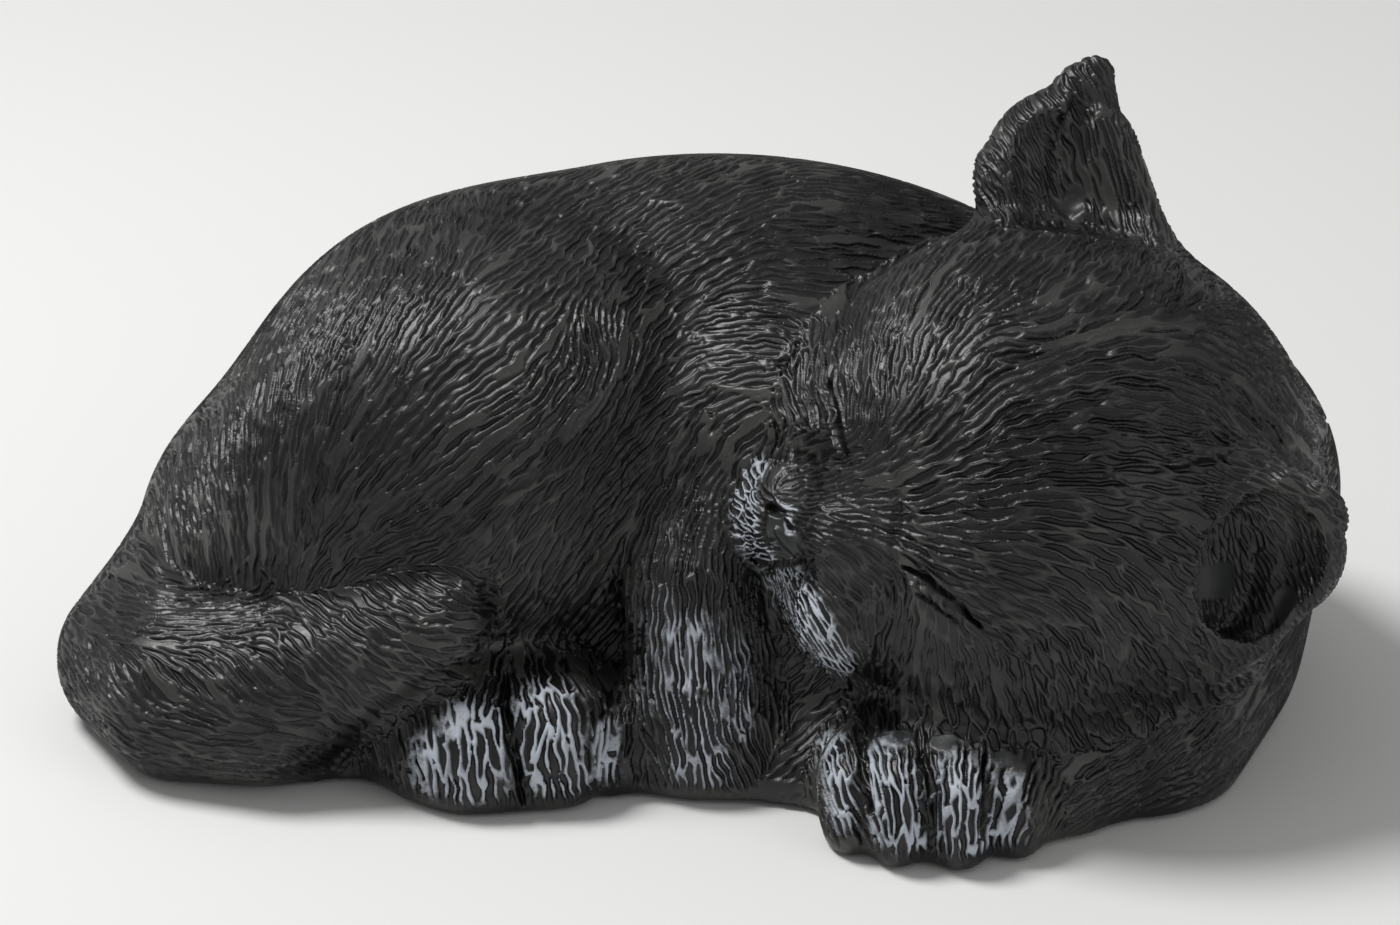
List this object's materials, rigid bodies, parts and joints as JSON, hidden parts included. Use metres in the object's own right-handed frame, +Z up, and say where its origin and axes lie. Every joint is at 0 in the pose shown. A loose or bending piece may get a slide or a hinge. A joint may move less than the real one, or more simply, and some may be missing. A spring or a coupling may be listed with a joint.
{
  "type": "cat figurine",
  "caption": "Curled-up sleeping kitten figurine, cast in bonded pieces with hand-sculpted fur, satin black with brushed white highlights, on felt pads.",
  "frame": {"origin": "on the table, under the middle of the figurine's bounding box", "axes": "+Z up, -Y towards the viewer of the belly side, +X towards the head end"},
  "size_m": [0.2566, 0.1572, 0.13],
  "materials": {
    "painted_resin": "satin black paint over cast resin, with white dry-brushed on the muzzle and paws",
    "bare_resin": "unpainted cast resin",
    "felt": "pressed felt"
  },
  "bodies": {
    "root": {"torso": "painted_resin", "head": "painted_resin", "right_ear": "painted_resin", "left_ear": "painted_resin", "tail": "painted_resin", "right_foreleg": "painted_resin", "hind_paw": "painted_resin", "left_forepaw": "painted_resin", "closing_plate": "bare_resin", "felt_pad_rear_left": "felt", "felt_pad_rear_right": "felt", "felt_pad_front_left": "felt", "felt_pad_front_right": "felt"}
  },
  "joints": []
}
